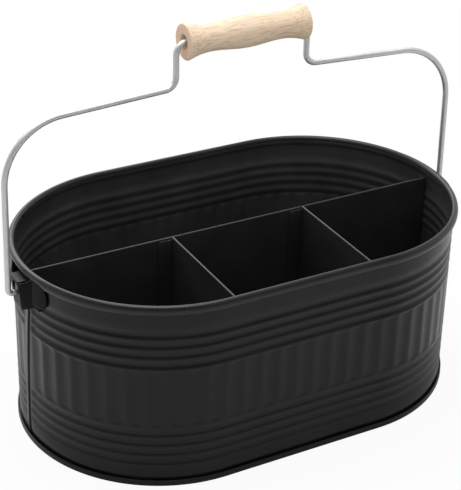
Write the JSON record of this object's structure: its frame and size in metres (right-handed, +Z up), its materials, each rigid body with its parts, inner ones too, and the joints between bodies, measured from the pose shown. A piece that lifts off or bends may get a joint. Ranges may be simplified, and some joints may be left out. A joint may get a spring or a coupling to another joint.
{
  "type": "cutlery caddy",
  "caption": "Oval pressed-metal cutlery caddy with inner dividers, side ears and a swinging wire bail that carries a turned wooden grip.",
  "frame": {"origin": "middle of the footprint, on the surface that the caddy stands on", "axes": "+X along the length towards the right ear, +Y towards the long undivided compartment at the back, +Z up"},
  "size_m": [0.3384, 0.201, 0.2767],
  "materials": {
    "black_paint": "satin black coat on steel sheet",
    "bright_wire": "bright plated steel wire",
    "pale_wood": "bare pale turned wood"
  },
  "bodies": {
    "caddy": {"wall": "black_paint", "floor_pan": "black_paint", "long_divider": "black_paint", "cross_divider_left": "black_paint", "cross_divider_right": "black_paint", "ear_left": "black_paint", "ear_right": "black_paint"},
    "bail": {"bail_wire": "bright_wire"},
    "grip": {"grip": "pale_wood"}
  },
  "joints": [
    {"name": "bail_swing", "type": "hinge", "parent": "caddy", "child": "bail", "pos_m": [0, 0, 0.1142], "axis": [1, 0, 0], "range_deg": [-118, 118]},
    {"name": "grip_spin", "type": "hinge", "parent": "bail", "child": "grip", "pos_m": [0, 0, 0.2647], "axis": [1, 0, 0], "continuous": true}
  ]
}
